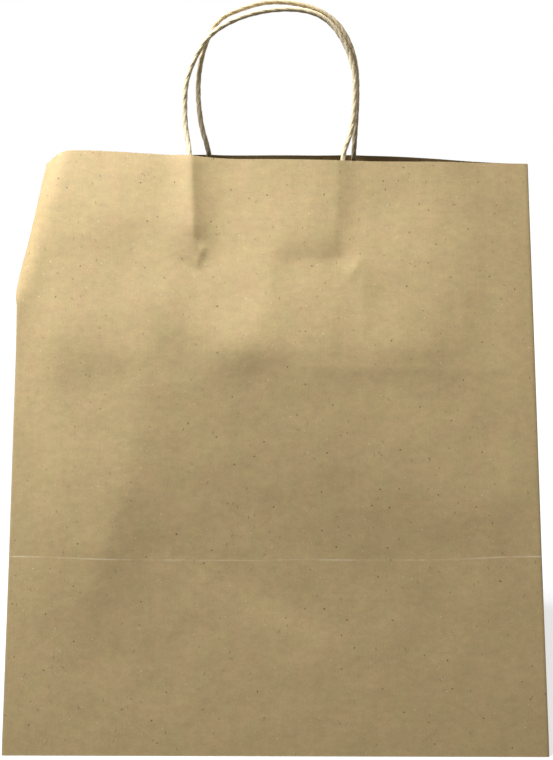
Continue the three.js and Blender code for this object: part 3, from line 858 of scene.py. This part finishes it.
class Nodes:
    """Short forms for a node tree: make a node, set its values and link its inputs."""

    def __init__(self, tree):
        self.tree = tree

    def add(self, kind, links=None, **settings):
        node = self.tree.nodes.new(kind)
        for key, value in settings.items():
            setattr(node, key, value)
        for key, value in (links or {}).items():
            self.put(node, key, value)
        return node

    def put(self, node, key, value):
        if isinstance(value, bpy.types.NodeSocket):
            self.tree.links.new(value, node.inputs[key])
        else:
            node.inputs[key].default_value = value

    def math(self, operation, a, b=None, c=None):
        """Any input here may be a number or another node's output."""
        node = self.add("ShaderNodeMath", operation=operation)
        for index, value in enumerate((a, b, c)):
            if value is not None:
                self.put(node, index, value)
        return node.outputs[0]

    def chain(self, operation, total, *values):
        """One value after the other, joined by the same operation."""
        for value in values:
            total = self.math(operation, total, value)
        return total

    def ramp(self, value, low, high, out_low=0.0, out_high=1.0, smooth=True):
        """Carries the span from low to high over to the one from out_low to out_high."""
        kind = "SMOOTHSTEP" if smooth else "LINEAR"
        return self.add("ShaderNodeMapRange", {
            "Value": value, "From Min": low, "From Max": high, "To Min": out_low,
            "To Max": out_high}, interpolation_type=kind).outputs[0]

    def spread(self, noise, low, high):
        """The span in which most of a noise lies, spread evenly from low to high."""
        return self.ramp(noise, *NOISE_SPAN, low, high, smooth=False)

    def grey(self, tone):
        return self.add("ShaderNodeCombineColor", {0: tone, 1: tone, 2: tone}).outputs[0]

    def group(self, tree, inputs):
        return self.add("ShaderNodeGroup", inputs, node_tree=tree).outputs

    def sheet(self):
        """Sheet coordinates in metres: round and up the bag, or along and across a strand."""
        return self.add("ShaderNodeUVMap", uv_map="sheet").outputs[0]

    def attribute(self, name):
        return self.add("ShaderNodeAttribute", attribute_name=name).outputs["Fac"]

    def seen(self):
        """1 for rays that show a surface, and 0 for those that only carry its light."""
        rays = self.add("ShaderNodeLightPath").outputs
        return self.chain("MAXIMUM", rays["Is Camera Ray"], rays["Is Glossy Ray"],
                          rays["Is Transmission Ray"])

    def mix(self, factor, a, b, blend="MIX"):
        node = self.add("ShaderNodeMix", data_type="RGBA", blend_type=blend)
        for index, value in ((0, factor), (6, a), (7, b)):
            self.put(node, index, value)
        return node.outputs[2]

    def noise(self, vector, scale, detail=2.0, rough=0.5):
        return self.add("ShaderNodeTexNoise", {
            "Vector": vector, "Scale": scale, "Detail": detail, "Roughness": rough}).outputs[0]

    def mix_in(self, vector, reach, scale):
        """The vector moved about by noise, so that what is laid out on it loses its order."""
        noise = self.add("ShaderNodeTexNoise", {"Vector": vector, "Scale": scale, "Detail": 2.0})
        spread = self.add("ShaderNodeVectorMath", {0: noise.outputs["Color"], 1: (0.5, 0.5, 0.5)},
                          operation="SUBTRACT").outputs[0]
        moved = self.add("ShaderNodeVectorMath", {0: spread, 1: (reach, reach, reach), 2: vector},
                         operation="MULTIPLY_ADD")
        return moved.outputs[0]

    def stretch(self, vector, scale, turn=0.0, move=(0, 0, 0)):
        return self.add("ShaderNodeMapping", {
            "Vector": vector, "Scale": scale, "Rotation": (0, 0, turn),
            "Location": move}).outputs[0]


def node_group(name, inputs, outputs):
    """A group from the names and kinds of its inputs and outputs."""
    tree = bpy.data.node_groups.new(name, "ShaderNodeTree")
    for way, sockets in (("INPUT", inputs), ("OUTPUT", outputs)):
        for socket, kind in sockets.items():
            tree.interface.new_socket(socket, in_out=way, socket_type="NodeSocket" + kind)
    nodes = Nodes(tree)
    return nodes, nodes.add("NodeGroupInput").outputs, nodes.add("NodeGroupOutput")


def fibre_specks_group():
    """Short fibres: stretched cells of a Voronoi pattern, kept where the cell's random value is
    high and the place is close to the cell's middle. Three directions are put together."""
    nodes, given, out = node_group("fibre_specks", {
        "Vector": "Vector", "Per metre": "Float", "Share": "Float", "Length": "Float",
    }, {"Mask": "Float"})
    masks = []
    for turn, move in ((0.5, 0.0), (2.0, 3.7), (1.25, 8.1)):
        turned = nodes.stretch(given["Vector"], (1, 1, 1), turn, (move, move * 0.6, 0))
        parts = nodes.add("ShaderNodeSeparateXYZ", {0: turned}).outputs
        squeezed = nodes.add("ShaderNodeCombineXYZ", {
            0: nodes.math("DIVIDE", parts[0], given["Length"]), 1: parts[1]}).outputs[0]
        cells = nodes.add("ShaderNodeTexVoronoi", {
            "Vector": squeezed, "Scale": given["Per metre"], "Randomness": 1.0},
            voronoi_dimensions="2D")
        chance = nodes.add("ShaderNodeSeparateColor", {0: cells.outputs["Color"]}).outputs[0]
        kept = nodes.math("LESS_THAN", chance, given["Share"])
        core = nodes.ramp(cells.outputs["Distance"], 0.22, 0.08)
        masks.append(nodes.math("MULTIPLY", kept, core))
    nodes.put(out, "Mask", nodes.chain("MAXIMUM", *masks))
    return nodes.tree


def paper_group(specks):
    """Kraft paper: cloudy tone, fine grain along the web, dark and light fibres, and height."""
    nodes, given, out = node_group("kraft_surface", {
        "Vector": "Vector", "Colour": "Color", "Dark fibre": "Color", "Pale fibre": "Color",
    }, {"Colour": "Color", "Height": "Float", "Roughness": "Float"})
    vector = given["Vector"]
    cloud = nodes.noise(vector, 28.0, 3.0, 0.6)
    blotch = nodes.noise(nodes.stretch(vector, (0.75, 1.0, 1.0)), 190.0, 4.0, 0.68)
    grain = nodes.noise(nodes.stretch(vector, (1.0, 0.6, 1.0)), 1300.0, 3.0, 0.7)
    ribs = nodes.noise(nodes.stretch(vector, (1.0, 0.03, 1.0)), 900.0, 2.0, 0.6)

    def around_one(value, reach):
        return nodes.math("MULTIPLY_ADD", nodes.math("SUBTRACT", value, 0.5), reach, 1.0)

    tone = nodes.chain("MULTIPLY", around_one(cloud, 0.2), around_one(blotch, 0.5),
                       around_one(grain, 0.38), around_one(ribs, 0.1))
    colour = nodes.mix(1.0, given["Colour"], nodes.grey(tone), "MULTIPLY")
    tint = nodes.noise(nodes.stretch(vector, (1, 1, 1), 0.7, (5, 2, 0)), 55.0, 3.0, 0.6)
    warm = nodes.mix(1.0, colour, (1.04, 0.985, 0.97, 1), "MULTIPLY")
    olive = nodes.mix(1.0, colour, (0.985, 1.012, 0.93, 1), "MULTIPLY")
    colour = nodes.mix(nodes.spread(tint, 0.0, 1.0), warm, olive)

    # Specks by how densely they may lie, the share kept, their length and their strength
    def specks_of(per_metre, share, length, move, strength):
        moved = nodes.stretch(nodes.mix_in(vector, 0.004, 70.0), (1, 1, 1), 0.0, move)
        mask = nodes.group(specks, {
            "Vector": moved, "Per metre": per_metre, "Share": share, "Length": length})[0]
        return nodes.math("MULTIPLY", mask, strength)

    shives = specks_of(380.0, 0.012, 2.4, (0.31, 0.12, 0), 0.42)
    dust = specks_of(620.0, 0.06, 1.8, (0.55, 0.92, 0), 0.25)
    dots = specks_of(330.0, 0.003, 1.2, (0.77, 0.42, 0), 0.9)
    pale = specks_of(520.0, 0.025, 2.2, (0.13, 0.71, 0), 0.25)
    glint = specks_of(420.0, 0.003, 1.3, (0.43, 0.27, 0), 0.7)
    darker = nodes.chain("MAXIMUM", shives, dust, dots)
    paler = nodes.math("MAXIMUM", pale, glint)
    colour = nodes.mix(darker, colour, given["Dark fibre"])
    colour = nodes.mix(paler, colour, given["Pale fibre"])
    height = nodes.math("MULTIPLY_ADD", ribs, 0.5, nodes.math("MULTIPLY", grain, 0.8))
    height = nodes.math("MULTIPLY_ADD", paler, 1.2, nodes.math("MULTIPLY_ADD", blotch, 0.6, height))
    nodes.put(out, "Colour", colour)
    nodes.put(out, "Height", height)
    nodes.put(out, "Roughness", nodes.ramp(blotch, *NOISE_SPAN, 0.66, 0.8))
    return nodes.tree


def fold_line_group():
    """A worn line where a sheet distance equals a given place, broken up by noise."""
    nodes, given, out = node_group("fold_line", {
        "Distance": "Float", "Place": "Float", "Half width": "Float", "Break up": "Float",
    }, {"Mask": "Float"})
    off = nodes.math("ABSOLUTE", nodes.math("SUBTRACT", given["Distance"], given["Place"]))
    share = nodes.math("DIVIDE", off, given["Half width"])
    line = nodes.ramp(share, 1.0, 0.2)
    kept = nodes.ramp(given["Break up"], 0.34, 0.62, 0.35, 1.0)
    nodes.put(out, "Mask", nodes.math("MULTIPLY", line, kept))
    return nodes.tree


def new_material(name, roughness, colour):
    """A material, the short forms for its nodes, and its shader."""
    material = bpy.data.materials.new(name)
    material.use_nodes = True
    material.diffuse_color = colour
    nodes = Nodes(material.node_tree)
    shader = material.node_tree.nodes["Principled BSDF"]
    shader.inputs["Roughness"].default_value = roughness
    return material, nodes, shader


def link_surface(nodes, shader, colour, roughness, height):
    """Gives a shader its colour and roughness, and the height as a fine bump."""
    bump = nodes.add("ShaderNodeBump", {
        "Height": height, "Strength": BUMP_STRENGTH, "Distance": BUMP_DISTANCE})
    nodes.put(shader, "Base Color", colour)
    nodes.put(shader, "Roughness", roughness)
    nodes.put(shader, "Normal", bump.outputs[0])


def paper_surface(nodes, paper, sheet, colour):
    """The kraft surface group with the bag's own fibres."""
    return nodes.group(paper, {
        "Vector": sheet, "Colour": colour, "Dark fibre": DARK_FIBRE, "Pale fibre": PALE_FIBRE})


def kraft_material(paper, fold_line):
    """The bag's sheet, with worn lines along its folds in sheet coordinates, and painted shade on
    its inner skins.
    """
    material, nodes, shader = new_material("kraft_paper", 0.75, KRAFT)
    sheet = nodes.sheet()
    surface = paper_surface(nodes, paper, sheet, KRAFT)
    parts = nodes.add("ShaderNodeSeparateXYZ", {0: sheet}).outputs
    break_up = nodes.noise(sheet, 60.0, 4.0, 0.7)
    from_middle = nodes.math("ABSOLUTE", nodes.math("SUBTRACT", parts[0], HALF_WIDTH * MM))
    sag = nodes.ramp(from_middle, *(at * MM for at in CREASE_SAG_SPAN), 0.0, CREASE_SAG * MM)
    unsteady = nodes.math("SUBTRACT", nodes.noise(sheet, 14.0, 2.0), 0.5)
    waver = nodes.math("MULTIPLY", unsteady, CREASE_WAVER * MM)
    creased = nodes.chain("ADD", parts[1], sag, waver)

    # The crease is worn most at its two ends, and in places between them
    at_ends = nodes.ramp(from_middle, *(at * MM for at in CREASE_END_SPAN), 0.0, 0.85)
    between = nodes.noise(nodes.stretch(sheet, (1, 0, 0)), 26.0, 3.0, 0.6)
    wear = nodes.math("MAXIMUM", at_ends, nodes.ramp(between, 0.42, 0.6, 0.16, 0.7))
    lines = [(creased, CREASE, CREASE_HALF_WIDTH, wear), (parts[1], 0.0, FOLD_HALF_WIDTH, 0.4)]
    lines += [(parts[0], at, FOLD_HALF_WIDTH, 0.35) for at in ROUND_FOLDS]
    worn = nodes.chain("MAXIMUM", *[
        nodes.math("MULTIPLY", nodes.group(fold_line, {
            "Distance": distance, "Place": place * MM, "Half width": half_width * MM,
            "Break up": break_up})[0], strength)
        for distance, place, half_width, strength in lines])
    # The inner skins get painted shade: the inside of the bag is darker
    inner_face = nodes.math("GREATER_THAN", parts[0], INNER_SKIN_SHIFT * MM / 2)
    painted_shade = nodes.mix(nodes.math("MULTIPLY", inner_face, INSIDE_SHADE_SHARE), WHITE, INSIDE_PAINTED_SHADE)
    colour = nodes.mix(1.0, nodes.mix(worn, surface["Colour"], PALE_FIBRE), painted_shade, "MULTIPLY")
    link_surface(nodes, shader, colour, surface["Roughness"], surface["Height"])
    return material


def patch_material(paper):
    """The strips that hold the cords: the same stock, a little greyer."""
    material, nodes, shader = new_material("patch_paper", 0.8, PATCH)
    surface = paper_surface(nodes, paper, nodes.sheet(), PATCH)
    link_surface(nodes, shader, surface["Colour"], surface["Roughness"], surface["Height"])
    return material


def cord_material(name, specks, colour, foot_shade_tone):
    """Twisted paper: streaks along each strand, folds across it, and painted shade in the grooves
    between the strands. Above the mouth it starts darker, in painted shade that fades out further
    up."""
    material, nodes, shader = new_material(name, 0.8, colour)
    sheet = nodes.sheet()
    streak = nodes.noise(nodes.stretch(sheet, (0.12, 1.0, 1.0)), 2600.0, 3.0, 0.65)
    folds = nodes.noise(nodes.stretch(sheet, (1.0, 0.35, 1.0), 0.5), 700.0, 3.0, 0.6)
    patches = nodes.noise(sheet, 120.0, 2.0, 0.6)
    # Painted shade on the legs just above the mouth, fading out further up
    foot = nodes.ramp(nodes.attribute("from_end"), LEG_DEPTH * MM, (LEG_DEPTH + FOOT_SHADE_SPAN) * MM,
                      foot_shade_tone, 1.0)
    tone = nodes.chain("MULTIPLY", nodes.spread(streak, 0.87, 1.12),
                       nodes.spread(folds, 0.87, 1.1), nodes.spread(patches, 0.88, 1.1), foot)
    body = nodes.mix(1.0, colour, nodes.grey(tone), "MULTIPLY")
    # Painted shade: darker down in the grooves between the strands
    seam = nodes.ramp(nodes.attribute("strand_rise"), 0.0, 0.5, 0.62, 1.0)
    painted_shade = nodes.mix(seam, CORD_GROOVE_SHADE, body)
    dark = nodes.group(specks, {
        "Vector": sheet, "Per metre": 700.0, "Share": 0.05, "Length": 2.5})[0]
    final = nodes.mix(nodes.math("MULTIPLY", dark, 0.4), painted_shade, DARK_FIBRE)
    height = nodes.math("ADD", streak, nodes.math("MULTIPLY", folds, 1.2))
    link_surface(nodes, shader, final, nodes.ramp(folds, *NOISE_SPAN, 0.7, 0.9), height)
    return material


# The view and the stage

CAMERA_PLACE = (13.23, -809.99, 401.21)
CAMERA_PITCH = math.radians(9.076)
CAMERA_YAW = math.radians(-0.868)
CAMERA_ROLL = math.radians(-0.31)
FOCAL_PIXELS = 1137.0
PICTURE_HEIGHT = 760.0
PRINCIPAL_ROW = 312.0

# The floor: its tone as seen and as it throws light back, its own glow near the bag, and the
# distances in metres between which it turns white
FLOOR_REACH = 6000.0
FLOOR_TONE = 0.4
FLOOR_BOUNCE = 0.06
FLOOR_GLOW = 0.6
FLOOR_FADE = (0.4, 1.5)
AMBIENT = 0.08

# Lamps: name, place, target and size in metres, power in watts, colour
LAMPS = [
    ("key", (-0.42, -0.17, 1.04), (0.0, -0.05, 0.2), (0.36, 0.36), 17.4, (0.96, 1.0, 1.08)),
    ("side_fill", (1.7, -0.5, 0.8), (0.0, 0.0, 0.2), (1.0, 1.0), 7.0, (1.0, 0.99, 0.97)),
    ("rear_fill", (0.7, 1.7, 0.9), (0.0, 0.0, 0.2), (1.2, 1.2), 16.0, (1.0, 0.99, 0.97)),
]


def set_camera():
    """Looks along the fitted direction: forward from pitch and yaw, then rolled about it."""
    forward = Vector((math.sin(CAMERA_YAW) * math.cos(CAMERA_PITCH),
                      math.cos(CAMERA_YAW) * math.cos(CAMERA_PITCH), -math.sin(CAMERA_PITCH)))
    right = Vector((math.cos(CAMERA_YAW), -math.sin(CAMERA_YAW), 0))
    up = right.cross(forward)
    turned_right = right * math.cos(CAMERA_ROLL) + up * math.sin(CAMERA_ROLL)
    turned_up = up * math.cos(CAMERA_ROLL) - right * math.sin(CAMERA_ROLL)
    data = bpy.data.cameras.new("camera")
    data.lens = FOCAL_PIXELS * data.sensor_width / PICTURE_HEIGHT
    data.shift_y = (PRINCIPAL_ROW - PICTURE_HEIGHT / 2) / PICTURE_HEIGHT
    data.clip_end = 20
    camera = add_object("camera", data)
    rotation = Matrix((turned_right, turned_up, -forward)).transposed().to_4x4()
    camera.matrix_world = Matrix.Translation(Vector(CAMERA_PLACE) * MM) @ rotation
    bpy.context.scene.camera = camera


def area_light(name, place, target, size, power, colour):
    """A rectangular lamp at its place that faces its target."""
    data = bpy.data.lights.new(name, "AREA")
    data.shape = "RECTANGLE"
    data.size, data.size_y = size
    data.energy = power
    data.color = colour
    lamp = add_object(name, data)
    lamp.location = place
    lamp.rotation_euler = (Vector(target) - Vector(place)).to_track_quat("-Z", "Y").to_euler()


def pale_floor():
    """A pale floor that keeps shadows. Rays that show it find it glowing a little and turning
    white with the distance. Rays that only carry light find it dark: it throws little back."""
    material, nodes, shader = new_material("pale_floor", 0.9, (0.8, 0.8, 0.8, 1))
    seen = nodes.seen()
    place = nodes.add("ShaderNodeTexCoord").outputs["Object"]
    away = nodes.add("ShaderNodeVectorMath", {0: place}, operation="LENGTH").outputs["Value"]
    far = nodes.ramp(away, *FLOOR_FADE)
    near = nodes.math("MULTIPLY", seen, nodes.math("SUBTRACT", 1.0, far))
    tone = nodes.ramp(near, 0, 1, FLOOR_BOUNCE, FLOOR_TONE, smooth=False)
    nodes.put(shader, "Base Color", nodes.grey(tone))
    glow = nodes.math("MULTIPLY", seen, nodes.ramp(far, 0, 1, FLOOR_GLOW, 1.0, smooth=False))
    shader.inputs["Emission Color"].default_value = WHITE
    nodes.put(shader, "Emission Strength", glow)
    return material


def set_stage():
    """The floor, a world that is white where it shows and dim as a light, and the lamps."""
    corners = FLOOR_REACH * np.array([[-1.0, -1, 0], [1, -1, 0], [1, 1, 0], [-1, 1, 0]])
    floor = make_mesh("floor", corners, [np.array([[0, 1, 2, 3]])])
    floor.data.materials.append(pale_floor())

    world = bpy.data.worlds.new("studio")
    bpy.context.scene.world = world
    world.use_nodes = True
    nodes = Nodes(world.node_tree)
    background = world.node_tree.nodes["Background"]
    background.inputs["Color"].default_value = WHITE
    nodes.put(background, "Strength", nodes.ramp(nodes.seen(), 0, 1, AMBIENT, 1.0, smooth=False))
    for lamp in LAMPS:
        area_light(*lamp)


# Putting it together

# Where the patches and the cords start in sheet coordinates, clear of the bag's own sheet
HANDLE_STARTS = {"front": 1500.0, "rear": 2200.0}
COVER_START = 200.0
CORD_START = 400.0
CORD_SEEDS = {"front": 4, "rear": 5}


def dress(piece, material, slot, *nodes):
    """Gives a piece its material and puts it in place of the solids' nodes."""
    piece.data.materials.append(material)
    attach(piece, "root")
    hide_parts(*nodes)


specks = fibre_specks_group()
paper = paper_group(specks)
fold_line = fold_line_group()
kraft = kraft_material(paper, fold_line)
patch_stock = patch_material(paper)
dress(bag_sheet(), kraft, "kraft_paper", "bag_body")
for place, (side, loop) in HANDLES.items():
    start = HANDLE_STARTS[place]
    dress(patch(f"{place}_backing", side, loop, BACKING_INSIDE, False, (start, 0)),
          patch_stock, "patch_paper", f"{place}_patch_backing")
    dress(patch(f"{place}_cover", side, loop, COVER_INSIDE, True, (start, COVER_START)),
          patch_stock, "patch_paper", f"{place}_patch_cover")
    cord_finish = cord_material(f"{place}_cord_paper", specks, *CORDS[place])
    dress(twisted_cord(f"{place}_cord", side, loop, CORD_SEEDS[place], (start, CORD_START)),
          cord_finish, "twisted_paper_cord", f"{place}_handle_cord")

bpy.context.scene.view_settings.view_transform = "Standard"
set_stage()
set_camera()
